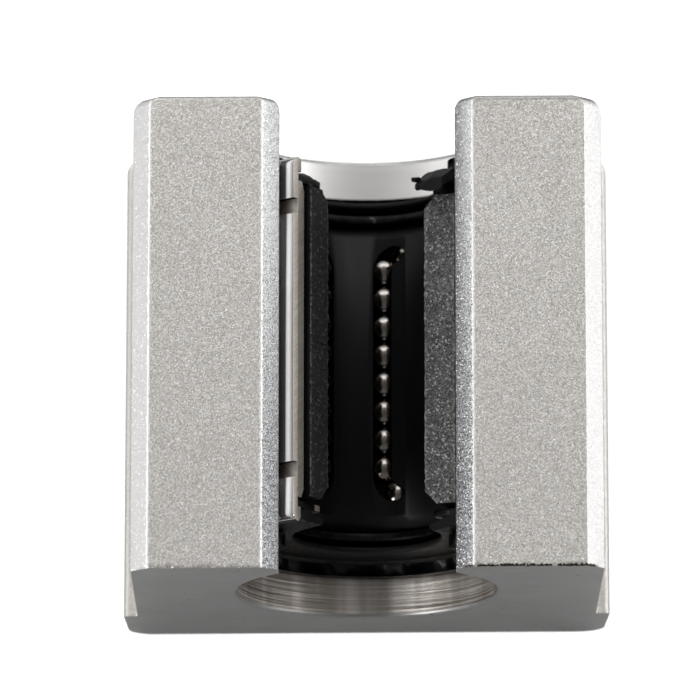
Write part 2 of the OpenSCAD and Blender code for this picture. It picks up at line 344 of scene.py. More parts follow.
def turned_aluminium():
    """The bore, with lathe lines that are strong towards the near end and faint at the rear."""
    made, tree = new_material("turned_aluminium")
    where = place(tree)
    rear = ramp_mm(tree, split_place(tree, where)["Y"], -2, 2)
    broad = stretched_noise(tree, where, 90, 1500, 90, 3)
    patch = stretched_noise(tree, where, 420, 40, 420, 2)
    near_color = mix_color(tree, ramp(tree, broad, 0.3, 0.7), (0.66, 0.61, 0.57), (0.80, 0.76, 0.72))
    near_color = mix_color(tree, ramp(tree, patch, 0.42, 0.62, 0, 0.75), near_color, (0.33, 0.295, 0.26))
    rear_color = mix_color(tree, broad, (0.80, 0.785, 0.765), (0.86, 0.85, 0.835))
    color = mix_color(tree, rear, near_color, rear_color)
    # Each line faces its own way along the shaft
    hairlines = stretched_noise(tree, where, 60, 45000, 60, 1)
    lines = stretched_noise(tree, where, 60, 11000, 60, 2)
    facing = plus(tree, times(tree, ramp(tree, hairlines, 0.25, 0.75), 0.88), times(tree, lines, 0.12))
    facing = times(tree, minus(tree, facing, 0.5), ramp(tree, rear, 0, 1, 1.0, 0.08))
    facing = add(tree, "CombineXYZ", {0: 0.5, 1: plus(tree, facing, 0.5), 2: 0.5}).outputs[0]
    return surface(made, color, 0.42, tilted_normal(tree, facing, 1.3))


def threaded_aluminium():
    """The walls of the tapped holes."""
    made, tree = new_material("threaded_aluminium")
    cloud = noise_value(tree, place(tree), 2500, 3)
    color = mix_color(tree, cloud, (0.42, 0.41, 0.40), (0.66, 0.65, 0.63))
    return surface(made, color, ramp(tree, cloud, 0.2, 0.8, 0.25, 0.45), bump(tree, cloud, 0.01, 0.4))


def ground_steel():
    """The sleeve's outside: almost a mirror, with fine grinding lines around it."""
    made, tree = new_material("ground_steel")
    where = place(tree)
    lines = stretched_noise(tree, where, 200, 14000, 200, 2)
    smear = stretched_noise(tree, where, 700, 120, 700, 4)
    color = mix_color(tree, ramp(tree, smear, 0.35, 0.7), (0.72, 0.71, 0.70), (0.86, 0.86, 0.87))
    return surface(made, color, ramp(tree, smear, 0.3, 0.7, 0.08, 0.14), bump(tree, lines, 0.006, 0.6))


def cut_steel():
    """The sleeve's cut faces and grooves, with the marks of the wheel across them."""
    made, tree = new_material("cut_steel")
    where = place(tree)
    turned = add(tree, "Mapping", {"Vector": where, "Rotation": (0.9, 0, 0)}).outputs[0]
    marks = stretched_noise(tree, turned, 500, 500, 4200, 3)
    fine = noise_value(tree, where, 5000, 2)
    color = mix_color(tree, ramp(tree, marks, 0.3, 0.7), (0.46, 0.42, 0.375), (0.60, 0.56, 0.51))
    color = mix_color(tree, ramp(tree, fine, 0.4, 0.75, 0, 0.3), color, (0.40, 0.365, 0.325))
    return surface(made, color, ramp(tree, fine, 0.2, 0.8, 0.45, 0.62), bump(tree, marks, 0.012, 0.5))


def scale_and_shade_steel():
    """Hardening scale and oil on the surfaces that nothing rubs, made near-black as painted shade."""
    made, tree = new_material("scale_and_shade_steel")
    where = place(tree)
    cloud = noise_value(tree, where, 1300, 4)
    color = mix_color(tree, ramp(tree, cloud, 0.3, 0.7), (0.010, 0.0095, 0.009), (0.038, 0.036, 0.034))
    normal = bump(tree, noise_value(tree, where, 4500, 2), 0.01, 0.5)
    return surface(made, color, ramp(tree, cloud, 0.3, 0.7, 0.35, 0.5), normal, metallic=0.9)


def moulded_plastic():
    """Black plastic with oil on it."""
    made, tree = new_material("moulded_plastic")
    where = place(tree)
    oil = stretched_noise(tree, where, 420, 90, 420, 4)
    color = mix_color(tree, oil, (0.004, 0.004, 0.0045), (0.010, 0.010, 0.0095))
    normal = bump(tree, noise_value(tree, where, 3500, 2), 0.006, 0.5)
    return surface(made, color, ramp(tree, oil, 0.3, 0.7, 0.34, 0.50), normal, metallic=0, specular=0.16)


def cut_plastic(name, dark, light, speck_color, rim_highlight_color):
    """Plastic that was cut through, in crumbs, with crushed long edges lightened, partly as a painted
    highlight.
    """
    made, tree = new_material(name)
    where = place(tree)
    value = channel(tree, grains(tree, where, 0.11), 0)
    cloud = noise_value(tree, where, 700, 4)
    color = mix_color(tree, ramp(tree, value, 0.2, 1), dark, light)
    color = mix_color(tree, ramp(tree, cloud, 0.4, 0.75, 0, 0.7), color, dark)
    color = mix_color(tree, math_node(tree, "GREATER_THAN", value, 0.93), color, speck_color)
    split = split_place(tree, where)
    across = add(tree, "CombineXYZ", {0: split["X"], 2: split["Z"]}).outputs[0]
    radius = add(tree, "VectorMath", {0: across}, operation="LENGTH").outputs["Value"]
    # The long edges are lightened: crushed plastic, partly a painted highlight
    inside = ramp_mm(tree, radius, CAGE_INSIDE + 0.02, CAGE_INSIDE - 0.14)
    outside = ramp_mm(tree, radius, CAGE_OUTSIDE - 0.20, CAGE_OUTSIDE - 0.07)
    rim = times(tree, math_node(tree, "MAXIMUM", inside, outside),
                ramp(tree, noise_value(tree, where, 3000, 3), 0.42, 0.62))
    color = mix_color(tree, rim, color, rim_highlight_color)
    normal = bump(tree, noise_value(tree, where, 6500, 2), 0.05, 0.8)
    return surface(made, color, 0.62, normal, metallic=0, specular=0.3)


def rubber():
    """The wipers' black rubber."""
    made, tree = new_material("rubber")
    where = place(tree)
    cloud = noise_value(tree, where, 900, 4)
    color = mix_color(tree, cloud, (0.004, 0.004, 0.0045), (0.013, 0.0125, 0.012))
    normal = bump(tree, noise_value(tree, where, 3000, 3), 0.03, 0.5)
    return surface(made, color, ramp(tree, cloud, 0.3, 0.7, 0.42, 0.62), normal, metallic=0, specular=0.12)


def black_oxide():
    """Blackened steel, rubbed grey in places."""
    made, tree = new_material("black_oxide")
    where = place(tree)
    cloud = noise_value(tree, where, 1100, 4)
    color = mix_color(tree, ramp(tree, cloud, 0.35, 0.7), (0.007, 0.007, 0.0075), (0.022, 0.0215, 0.021))
    color = mix_color(tree, ramp(tree, cloud, 0.66, 0.74), color, (0.16, 0.155, 0.15))
    normal = bump(tree, noise_value(tree, where, 5000, 2), 0.01, 0.5)
    return surface(made, color, ramp(tree, cloud, 0.3, 0.7, 0.28, 0.46), normal, metallic=0.85)


def ball_steel():
    """Polished balls under a film of oil, their colour darkened further as painted shade."""
    made, tree = new_material("ball_steel")
    where = place(tree)
    smear = noise_value(tree, where, 1500, 3)
    color = mix_color(tree, smear, (0.25, 0.228, 0.208), (0.36, 0.33, 0.305))
    normal = bump(tree, noise_value(tree, where, 9000, 1), 0.001, 0.3)
    return surface(made, color, ramp(tree, smear, 0.3, 0.7, 0.08, 0.16), normal)


BLASTED, SAWN = blasted_aluminium(), sawn_aluminium()
TURNED, THREADED = turned_aluminium(), threaded_aluminium()
GROUND, CUT, SCALE_AND_SHADE, OXIDE, BALL = ground_steel(), cut_steel(), scale_and_shade_steel(), black_oxide(), ball_steel()
MOULDED, RUBBER = moulded_plastic(), rubber()
# The cage's cut faces: the left one dark with painted shade, the right one pale, partly with painted light
DARK_SHADED_CUT = cut_plastic("dark_shaded_cut_plastic", (0.006, 0.006, 0.0065), (0.020, 0.020, 0.0195),
                         (0.07, 0.07, 0.068), (0.12, 0.118, 0.115))
PALE_LIT_CUT = cut_plastic("pale_lit_cut_plastic", (0.045, 0.045, 0.046), (0.25, 0.248, 0.245),
                        (0.45, 0.445, 0.44), (0.30, 0.295, 0.29))


# ---------------------------------------------------------------- mesh helpers
def finish_piece(name, mesh, materials, body, replaces, sharp_angle):
    """Shows a mesh in place of a CAD node, on the given body, with sharp edges above the angle."""
    for material in materials:
        mesh.materials.append(material)
    mesh.shade_smooth()
    mesh.set_sharp_from_angle(angle=math.radians(sharp_angle))
    piece = bpy.data.objects.new(name, mesh)
    bpy.context.scene.collection.objects.link(piece)
    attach(piece, body)
    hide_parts(replaces)
    return piece


def mesh_from(name, points_mm, faces):
    """A mesh in metres from points in millimetres."""
    mesh = bpy.data.meshes.new(name)
    mesh.from_pydata([Vector(p) * MM for p in points_mm], [], faces)
    mesh.update()
    return mesh


def to_mesh(name, bm):
    mesh = bpy.data.meshes.new(name)
    bm.to_mesh(mesh)
    bm.free()
    return mesh


def face_outwards(mesh):
    bm = bmesh.new()
    bm.from_mesh(mesh)
    bmesh.ops.recalc_face_normals(bm, faces=bm.faces)
    bm.to_mesh(mesh)
    bm.free()


def noise_at(x, y, z, scale, seed):
    """Smooth noise between about -1 and 1, the same each run. A larger scale makes it finer."""
    return noise.noise(Vector((x * scale + seed, y * scale - seed, z * scale + 2 * seed)))


def ring(around, z, radius_at):
    """Points around Z at one height, whose radius may change with the angle."""
    angles = [2 * math.pi * k / around for k in range(around)]
    return [(radius_at(a, z) * math.cos(a), radius_at(a, z) * math.sin(a), z) for a in angles]


def band(first, second, around):
    """The faces between two rings of points, given the number of each ring's first point."""
    faces = []
    for k in range(around):
        following = (k + 1) % around
        faces.append((first + k, first + following, second + following, second + k))
    return faces


def fan(first, tip, around):
    """The faces between a ring of points and one more point."""
    return [(first + k, first + (k + 1) % around, tip) for k in range(around)]


def tube(rings, around):
    """The faces of a tube of rings of points, with a cap at each end as its last two faces."""
    faces = []
    for s in range(rings - 1):
        faces += band(s * around, (s + 1) * around, around)
    faces.append(tuple(range(around))[::-1])
    faces.append(tuple((rings - 1) * around + k for k in range(around)))
    return faces


def revolved(rows, around, radius_at):
    """The points and faces of a closed body around Z, from a row of points at each height."""
    points = []
    for z in rows:
        points += ring(around, z, radius_at)
    return points, tube(len(rows), around)


# ---------------------------------------------------------------- the block
def offset_corners(corners, insets):
    """The open polyline with each edge moved by its own inset into the metal on its left-hand side."""
    lines = []
    for a, b, inset in zip(corners, corners[1:], insets):
        along = (Vector(b) - Vector(a)).normalized()
        lines.append((Vector(a) + Vector((-along.y, along.x)) * inset, along))
    moved = [lines[0][0]]
    for (p, d), (q, e) in zip(lines, lines[1:]):
        moved.append(p + d * ((q - p).cross(e) / d.cross(e)))
    moved.append(Vector((lines[-1][0].x, corners[-1][1])))
    return moved


def rounded_corner(before, corner, after, radius, steps):
    """Points of the arc that rounds one corner."""
    a, b = (before - corner).normalized(), (after - corner).normalized()
    half = a.angle(b) / 2
    reach = radius / math.tan(half)
    centre = corner + (a + b).normalized() * radius / math.sin(half)
    start, end = corner + a * reach - centre, corner + b * reach - centre
    sweep = start.angle_signed(end)
    return [centre + Matrix.Rotation(-sweep * k / steps, 2) @ start for k in range(steps + 1)]


# The right half of the block's end view, from under the axis to the slot's wall: each corner,
# with the radius that rounds it and the number of steps round it
OUTLINE = [
    ((0, FACE_BOTTOM), None, None),
    ((HALF_FLANGE - FLANGE_DRAFT, FACE_BOTTOM), 2.1, 10),
    ((HALF_FLANGE, LEDGE), 0.5, 5),
    ((HALF_BODY, LEDGE), 0.15, 3),
    ((HALF_BODY, BEVEL_FOOT), 0.16, 4),
    ((OUTER_EDGE, FACE_TOP), 0.09, 3),
    ((INNER_EDGE, FACE_TOP), 0.09, 3),
    ((HALF_SLOT, BEVEL_FOOT), 0.16, 4),
    ((HALF_SLOT, 0), None, None),
]
# How much the underside, flange side, ledge, body side, outer bevel, open face, inner bevel and
# slot wall are rounded off at each end
NEAR_ROUNDING = (0.06, 0.06, 0.06, 0.06, 0.05, 0.06, 0.05, 0.06)
REAR_ROUNDING = (0.3, 1.3, 0.35, 1.3, 0.9, 0.35, 0.55, 0.9)
# How many steps divide the open face, the slot's wall below the bevel and half of the bore
TOP_POINTS = 70
WALL_POINTS = 5
ARC_POINTS = 96
# The block's kinds of surface, numbered as its mesh lists their materials
OUTSIDE, MOUTH, BORE_WALL, HOLE_WALL = range(4)


def half_outline(insets):
    """The outline's points down to the top of the slot's wall, and the wall's place across."""
    corners = offset_corners([corner for corner, radius, steps in OUTLINE], insets)
    points = [corners[0]]
    for i in range(1, len(corners) - 1):
        radius, steps = OUTLINE[i][1:]
        points += rounded_corner(corners[i - 1], corners[i], corners[i + 1], radius, steps)
    return points, corners[-1].x


def split_top(points):
    """Adds points along the open face, which is the one long level line near the top."""
    out = []
    for a, b in zip(points, points[1:]):
        out.append(a)
        if abs(a.y - b.y) < 1e-6 and a.y > 0 and abs(a.x - b.x) > 4:
            out += [a.lerp(b, k / TOP_POINTS) for k in range(1, TOP_POINTS)]
    out.append(points[-1])
    return out


def rounding_off(radius, from_end):
    """How far a surface draws in at this distance from a rounded end."""
    if from_end >= radius:
        return 0.0
    return radius - math.sqrt(radius ** 2 - (radius - from_end) ** 2)


def bore_radius_at(y):
    """The bore's radius, with its rounded mouths, circlip grooves and turned lines."""
    from_end = HALF_LENGTH - abs(y)
    if from_end < MOUTH_BEVEL:
        return BORE + rounding_off(MOUTH_BEVEL, from_end)
    if GROOVE_FROM - 1e-6 <= abs(y) <= GROOVE_TO + 1e-6:
        return GROOVE
    if abs(y) > GROOVE_TO:
        wave = (from_end / TURNED_PITCH) % 1
        height = NEAR_TURNED_HEIGHT if y < 0 else REAR_TURNED_HEIGHT
        return BORE + height * (1 - abs(2 * wave - 1)) ** 0.7
    return BORE


def block_stations():
    """Places along the block, closer together where the surface changes."""
    edge = [0, 0.02, 0.05, 0.09, 0.14, 0.2, 0.27, 0.35]
    turned = [0.35 + 0.05 * k for k in range(1, 57)]
    grooves = [HALF_LENGTH - GROOVE_TO - 0.001, HALF_LENGTH - GROOVE_TO + 0.001,
               HALF_LENGTH - GROOVE_FROM - 0.001, HALF_LENGTH - GROOVE_FROM + 0.001]
    turned = [t for t in turned if t < HALF_LENGTH - GROOVE_TO - 0.01]
    steps = sorted(edge + turned + grooves + [6, 8, 10, 12, 14, 16, 18])
    return [s - HALF_LENGTH for s in steps] + [0] + [HALF_LENGTH - s for s in reversed(steps)]


def block_ring(y):
    """All the points of half the block's section at one place along it, and where the bore begins."""
    from_end = HALF_LENGTH - abs(y)
    rounding = NEAR_ROUNDING if y < 0 else REAR_ROUNDING
    outline, wall_x = half_outline([rounding_off(radius, from_end) for radius in rounding])
    outline = split_top(outline)
    radius = bore_radius_at(y)
    meet_angle = math.pi - math.asin(wall_x / radius)
    meet_z = -radius * math.cos(meet_angle)
    top_z = outline[-1].y
    half = [(p.x, p.y) for p in outline]
    half += [(wall_x, top_z + (meet_z - top_z) * k / WALL_POINTS) for k in range(1, WALL_POINTS)]
    bore_from = len(half)
    for k in range(ARC_POINTS + 1):
        angle = meet_angle * (1 - k / ARC_POINTS)
        half.append((radius * math.sin(angle), -radius * math.cos(angle)))
    return half, bore_from


def chipped(x, y, z):
    """Small breaks along the top edge of the near end, where the saw came through."""
    from_end = y + HALF_LENGTH
    if z < FACE_TOP - 0.5 or from_end > 0.4:
        return z
    chip = max(0, noise_at(x, 0, 0, 1.9, 3.7) + 0.6 * noise_at(x, 0, 0, 5.3, 9.1) + 0.1)
    side = 1.0 if x > 0 else 0.45
    return z - side * 0.32 * chip * (1 - from_end / 0.4) ** 2


def out_of_square(x, y, z):
    """The place along the block after the two crooked saw cuts."""
    across = (x + HALF_FLANGE) / (2 * HALF_FLANGE)
    down = (FACE_TOP - z) / (FACE_TOP - FACE_BOTTOM)
    near = min(1.0, max(0.0, (-y - SKEW_FROM) / (HALF_LENGTH - SKEW_FROM)))
    rear = min(1.0, max(0.0, (y - SKEW_FROM) / (HALF_LENGTH - SKEW_FROM)))
    near_shift = NEAR_SHORT_AT_RIGHT * across - NEAR_LONG_AT_FOOT * down
    rear_shift = REAR_LONG_AT_LEFT + (REAR_LONG_AT_RIGHT - REAR_LONG_AT_LEFT) * across
    return y + near * near_shift + rear * rear_shift


def build_block():
    """The block: rings of points along it, out of which the holes are cut."""
    stations = block_stations()
    points = []
    for y in stations:
        half, bore_from = block_ring(y)
        section = half + [(-x, z) for x, z in half[1:-1]][::-1]
        points += [(x, out_of_square(x, y, z), chipped(x, y, z)) for x, z in section]
    around = len(section)
    kinds = []
    for here, there in zip(stations, stations[1:]):
        in_mouth = HALF_LENGTH - abs(here + there) / 2 < MOUTH_BEVEL
        for i in range(around):
            in_bore = bore_from <= i < around - bore_from
            kinds.append((MOUTH if in_mouth else BORE_WALL) if in_bore else OUTSIDE)
    kinds += [MOUTH, MOUTH]
    mesh = mesh_from("block_body", points, tube(len(stations), around))
    mesh.polygons.foreach_set("material_index", kinds)
    face_outwards(mesh)
    for cutter in [bolt_hole_cutter(x, y) for x, y in BOLT_PLACES] + [screw_hole_cutter()]:
        cut_away(mesh, cutter)
    block = finish_piece("block_body", mesh, [BLASTED, SAWN, TURNED, THREADED],
                         "block", "housing", 28)
    # Large flat faces keep flat shading beside the small ones that meet them
    weighted = block.modifiers.new("weighted_normal", "WEIGHTED_NORMAL")
    weighted.keep_sharp = True


def thread_depth(angle, z, pitch):
    """0 at a thread's root and 1 at its crest."""
    wave = (z / pitch - angle / (2 * math.pi)) % 1
    return min(1.0, max(0.0, 1.35 * abs(2 * wave - 1) - 0.12))


def bolt_hole_cutter(x, y):
    """A threaded hole in the underside, with a bevelled mouth and a drilled tip."""
    step = BOLT_PITCH / 8
    rows = [-0.5 + step * k for k in range(int((BOLT_DEPTH - 0.4) / step))]
    rows += [BOLT_DEPTH - 0.5, BOLT_DEPTH]

    def radius_at(angle, z):
        if z >= BOLT_DEPTH - 0.8:
            return BOLT_TAPPED
        r = BOLT_MAJOR - (BOLT_MAJOR - BOLT_TAPPED) * thread_depth(angle, z, BOLT_PITCH)
        return max(r, BOLT_TAPPED + BOLT_BEVEL - z) if z < BOLT_BEVEL else r

    around = 40
    points, faces = revolved(rows, around, radius_at)
    points.append((0, 0, BOLT_DEPTH + BOLT_TIP))
    faces = faces[:-1] + fan((len(rows) - 1) * around, len(points) - 1, around)
    mesh = mesh_from("cutter", [(x + px, y + py, FACE_BOTTOM + pz) for px, py, pz in points], faces)
    face_outwards(mesh)
    return mesh


def screw_hole_cutter():
    """The plain hole of the set screw, from the right side of the block into the bore."""
    bevel_from = HALF_BODY - SCREW_HOLE_BEVEL

    def radius_at(angle, z):
        return SCREW_HOLE + max(0.0, z - bevel_from)

    points, faces = revolved([6, 9, bevel_from, HALF_BODY, HALF_BODY + 0.6], 64, radius_at)
    mesh = mesh_from("cutter", [(pz, py, px) for px, py, pz in points], faces)
    face_outwards(mesh)
    return mesh


def cut_away(mesh, cutter_mesh):
    """Takes one mesh out of another, and marks the new surfaces as hole walls."""
    for polygon in cutter_mesh.polygons:
        polygon.material_index = HOLE_WALL
    holder = bpy.data.objects.new("holder", mesh)
    cutter = bpy.data.objects.new("cutter", cutter_mesh)
    for made in (holder, cutter):
        bpy.context.scene.collection.objects.link(made)
    modifier = holder.modifiers.new("cut", "BOOLEAN")
    modifier.object = cutter
    modifier.operation = "DIFFERENCE"
    modifier.solver = "EXACT"
    modifier.material_mode = "INDEX"
    result = bpy.data.meshes.new_from_object(holder.evaluated_get(bpy.context.evaluated_depsgraph_get()))
    bm = bmesh.new()
    bm.from_mesh(result)
    bm.to_mesh(mesh)
    bm.free()
    for made in (holder, cutter):
        bpy.data.objects.remove(made)
    bpy.data.meshes.remove(result)
    bpy.data.meshes.remove(cutter_mesh)


# ---------------------------------------------------------------- parts refined from the CAD nodes
def clean_copy(node):
    """The node's mesh with its seams joined and its flat faces whole again."""
    bm = bmesh.new()
    bm.from_mesh(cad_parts[node].data)
    bmesh.ops.remove_doubles(bm, verts=bm.verts, dist=4e-7)
    bmesh.ops.dissolve_limit(bm, angle_limit=math.radians(0.6), verts=bm.verts, edges=bm.edges)
    bmesh.ops.recalc_face_normals(bm, faces=bm.faces)
    return bm


def from_axis(vector):
    """The distance from the shaft's axis, in millimetres."""
    return math.hypot(vector.x, vector.z) / MM


def away_from_axis(vector):
    """The direction straight out from the shaft's axis."""
    return Vector((vector.x, 0, vector.z)).normalized()


def is_cut_end(face):
    """Whether a face looks around the shaft, as only the sides of the slot do."""
    c = face.calc_center_median()
    return abs(face.normal.x * c.z - face.normal.z * c.x) / math.hypot(c.x, c.z) > 0.97


def is_slot_side(face):
    """Whether a face is one of the sleeve's or the cage's two large cut faces."""
    return is_cut_end(face) and face.calc_area() > 20 * MM * MM


def slice_faces(bm, faces, through, across):
    """Cuts only these faces, along a plane through a point and across a direction."""
    geom = faces + list({e for f in faces for e in f.edges}) + list({v for f in faces for v in f.verts})
    bmesh.ops.bisect_plane(bm, geom=geom, plane_co=through, plane_no=across)


def bevel_sharp(bm, width_mm, segments):
    """Rounds off every edge that is clearly sharp."""
    edges = [e for e in bm.edges if len(e.link_faces) == 2
             and e.calc_face_angle(0) > math.radians(35)]
    bmesh.ops.bevel(bm, geom=edges, offset=width_mm * MM, offset_type="OFFSET", segments=segments,
                    profile=0.5, affect="EDGES", clamp_overlap=True, loop_slide=True)


def build_sleeve():
    """The sleeve: ground outside, cut faces and grooves, and scale with painted shade inside."""
    bm = clean_copy("outer_sleeve")
    for face in bm.faces:
        c = face.calc_center_median()
        in_span = abs(abs(c.y) / MM - SLEEVE_GROOVE_PLACE) < 0.75
        in_groove = in_span and abs(from_axis(c) - SLEEVE_GROOVE) < 0.15
        outside = from_axis(c) > SLEEVE_GROOVE + 0.15
        face.material_index = 1 if is_slot_side(face) or in_groove else 0 if outside else 2
    bevel_sharp(bm, 0.045, 2)
    finish_piece("sleeve", to_mesh("sleeve", bm), [GROUND, CUT, SCALE_AND_SHADE], "bushing",
                 "outer_sleeve", 40)


def split_cage_cuts(bm):
    """Divides the cage's cut faces both ways into small ones, which can then be roughened."""
    low, high = (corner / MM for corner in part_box("ball_cage"))
    for k in range(1, int((high.y - low.y) / CAGE_STEP)):
        faces = [f for f in bm.faces if f.material_index == 1]
        slice_faces(bm, faces, (0, (low.y + CAGE_STEP * k) * MM, 0), (0, 1, 0))
    for side in (1, -1):
        faces = [f for f in bm.faces if f.material_index == 1 and f.calc_center_median().x * side > 0]
        middle = sum((f.calc_center_median() for f in faces), Vector()) / len(faces)
        outwards = away_from_axis(middle)
        for radius in [CAGE_INSIDE + CAGE_STEP * k for k in range(12)]:
            faces = [f for f in bm.faces if f.material_index == 1 and f.calc_center_median().x * side > 0]
            slice_faces(bm, faces, outwards * radius * MM, outwards)
    bm.normal_update()


def cage_cut_shift(x, y, z, on_edge):
    """How far a point of the cage's cut faces stands out: they lean, the right one more, and are rough."""
    along = (math.hypot(x, z) - CAGE_INSIDE) / (CAGE_OUTSIDE - CAGE_INSIDE)
    lean = 0.48 - 0.78 * along if x > 0 else 0.16 - 0.16 * along
    if on_edge:
        return lean - 0.05 + 0.11 * noise_at(x, y, z, 4.0, 8.2)
    return 0.07 * noise_at(x, y, z, 2.6, 1.3) + 0.05 * noise_at(x, y, z, 7.5, 5.9) + lean


def build_cage():
    """The cage, whose two cut faces are rough: the left one dark with painted shade and the right one pale,
    partly with painted light.
    """
    bm = clean_copy("ball_cage")
    for face in bm.faces:
        face.material_index = 1 if is_slot_side(face) else 0
    split_cage_cuts(bm)
    moved = {v for f in bm.faces if f.material_index == 1 for v in f.verts}
    for v in moved:
        own = [f for f in v.link_faces if f.material_index == 1]
        on_edge = len(own) < len(v.link_faces)
        normal = sum((f.normal for f in own), Vector()).normalized()
        x, y, z = v.co / MM
        if on_edge:
            v.co += away_from_axis(v.co) * 0.05 * noise_at(x, y, z, 5.0, 2.2) * MM
        v.co += normal * cage_cut_shift(x, y, z, on_edge) * MM
    for face in bm.faces:
        if face.material_index == 1 and face.calc_center_median().x > 0:
            face.material_index = 2
    finish_piece("cage", to_mesh("cage", bm), [MOULDED, DARK_SHADED_CUT, PALE_LIT_CUT], "bushing",
                 "ball_cage", 30)


def build_end_ring(end):
    """A steel washer. The front one's left cut end is bare cut steel out to RING_CORNER_TO, a painted glint
    where it shows past the cage.
    """
    node = "end_ring_" + end
    bm = clean_copy(node)
    for face in [f for f in bm.faces if is_cut_end(f) and f.calc_center_median().x < 0]:
        outwards = away_from_axis(face.calc_center_median())
        slice_faces(bm, [face], outwards * RING_CORNER_TO * MM, outwards)
    for face in bm.faces:
        c = face.calc_center_median()
        # The bright corner is a painted glint
        bright = end == "front" and is_cut_end(face) and c.x < 0 and from_axis(c) < RING_CORNER_TO
        face.material_index = 1 if bright else 0
    bevel_sharp(bm, 0.06, 2)
    finish_piece("end_washer_" + end, to_mesh(node, bm), [OXIDE, CUT], "bushing", node, 40)


def build_circlip(end):
    """A retaining ring, which keeps its CAD shape apart from rounded edges."""
    node = "circlip_" + end
    bm = clean_copy(node)
    bevel_sharp(bm, 0.09, 3)
    finish_piece("retaining_" + end, to_mesh(node, bm), [OXIDE], "block", node, 40)


# ---------------------------------------------------------------- the wipers
# The rear wiper's section, from its outer edge round to its lip and back, as radius and place
WIPER_SECTION = [(9.44, 13.84), (9.44, 14.72), (9.36, 14.8), (8.7, 14.8), (8.04, 14.8), (7.4, 14.8),
                 (6.8, 14.8), (6.33, 14.8), (6.12, 14.74), (6.03, 14.65), (6.03, 14.5), (6.03, 14.38),
                 (6.1, 14.3), (6.6, 14.22), (7.2, 14.08), (8.04, 13.84), (8.7, 13.84)]
WIPER_STEPS = 280
# The steps at each cut end that sag
WIPER_TORN_STEPS = 11
# The angles from the slot's middle to the right and left cut ends, and how far each one sags
WIPER_CUTS = {"front": (47, 47, 0.1, 0.1), "rear": (40, 44, 1.15, 0.65)}
# The crumbs that hang from the rear wiper: each one's place, size and noise seed
CRUMBS = [((4.0, 13.95, 4.75), (0.42, 0.22, 0.26), 2.0), ((4.45, 13.3, 4.75), (0.50, 0.22, 0.30), 4.1),
          ((5.0, 13.35, 5.0), (0.55, 0.25, 0.35), 6.7), ((-4.5, 13.75, 4.6), (0.45, 0.30, 0.30), 8.8),
          ((-5.0, 13.45, 4.9), (0.40, 0.25, 0.35), 3.3)]


def crumb(centre, size, seed):
    """A torn crumb of rubber: a small ball drawn out and roughened."""
    bm = bmesh.new()
    bmesh.ops.create_icosphere(bm, subdivisions=3, radius=1)
    for v in bm.verts:
        rough = 1 + 0.55 * noise_at(*v.co, 1.3, seed) + 0.3 * noise_at(*v.co, 3.1, seed + 5)
        v.co = Vector(centre) + Vector(a * b for a, b in zip(v.co * rough, size))
    points = [tuple(v.co) for v in bm.verts]
    faces = [tuple(v.index for v in f.verts) for f in bm.faces]
    bm.free()
    return points, faces


def wiper_point(end, radius, y, t):
    """A point of the section (radius, y), at the part t of the way from the right cut end to the left."""
    sign = 1 if end == "rear" else -1
    turn = BUSHING_TURN if end == "front" else 0
    right_cut, left_cut, right_sag, left_sag = WIPER_CUTS[end]
    near_cut = max(0.0, 1 - min(t, 1 - t) * WIPER_STEPS / WIPER_TORN_STEPS)
    ragged = math.radians(2.6) * noise_at(radius, y * 2, sign * 3 + (t > 0.5) * 7, 2.3, 0.6)
    first = math.radians(right_cut) + ragged
    last = 2 * math.pi - math.radians(left_cut) + ragged
    angle = first + (last - first) * t
    x, z = radius * math.sin(angle), radius * math.cos(angle)
    deepest = left_sag if t > 0.5 else right_sag
    sag = (deepest + 0.25 * noise_at(radius, y, t * 40, 1.1, 4.4)) * near_cut ** 1.2
    lip = 0.012 * noise_at(x, 0, z, 1.6, 7.7) if radius < 7 else 0
    torn_radius = radius + lip - abs(0.16 * near_cut * noise_at(x, y, z, 2.9, 1.9))
    return torn_radius * math.sin(angle + turn), sign * (y - sag), torn_radius * math.cos(angle + turn)


def build_wiper(end):
    """A rubber wiper whose cut ends are torn and sag inwards."""
    points = []
    for s in range(WIPER_STEPS + 1):
        points += [wiper_point(end, radius, y, s / WIPER_STEPS) for radius, y in WIPER_SECTION]
    faces = tube(WIPER_STEPS + 1, len(WIPER_SECTION))
    for centre, size, seed in (CRUMBS if end == "rear" else []):
        extra, extra_faces = crumb(centre, size, seed)
        faces += [tuple(i + len(points) for i in f) for f in extra_faces]
        points += extra
    mesh = mesh_from("wiper_" + end, points, faces)
    face_outwards(mesh)
    finish_piece("wiper_" + end, mesh, [RUBBER], "bushing", "end_seal_" + end, 50)


# ---------------------------------------------------------------- the set screw
SCREW_MAJOR, SCREW_MINOR, SCREW_PITCH = 1.95, 1.6, 0.7
SCREW_FROM, SCREW_LENGTH = 10.8, 6.0
SCREW_END = 1.45
CUP_RADIUS, CUP_DEPTH = 0.9, 0.5
SOCKET, SOCKET_DEPTH, SOCKET_TIP = 1.15, 2.2, 0.4


